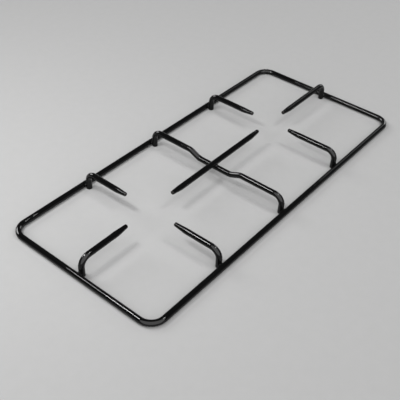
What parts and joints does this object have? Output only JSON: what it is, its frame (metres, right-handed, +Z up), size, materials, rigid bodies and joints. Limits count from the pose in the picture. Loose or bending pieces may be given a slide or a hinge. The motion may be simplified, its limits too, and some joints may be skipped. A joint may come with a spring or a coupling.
{
  "type": "hob pan support",
  "caption": "Low wire pan support for a gas hob: a rounded rectangular rod frame with bent, tapered fingers round each burner and a dipped cross bar, in gloss black enamel.",
  "frame": {"origin": "on the hob plate, under the middle of the frame ring", "axes": "+X along the frame, from the large burner's end to the small burner's end; +Y across it, from the front side to the back side; +Z up, away from the hob"},
  "size_m": [0.477, 0.213, 0.026],
  "materials": {
    "black_enamel": "gloss black vitreous enamel fired on steel rod"
  },
  "bodies": {
    "root": {"frame_ring": "black_enamel", "cross_bar": "black_enamel", "centre_bar": "black_enamel", "large_end_finger": "black_enamel", "large_front_finger": "black_enamel", "large_back_finger": "black_enamel", "small_end_finger": "black_enamel", "small_front_finger": "black_enamel", "small_back_finger": "black_enamel"}
  },
  "joints": []
}
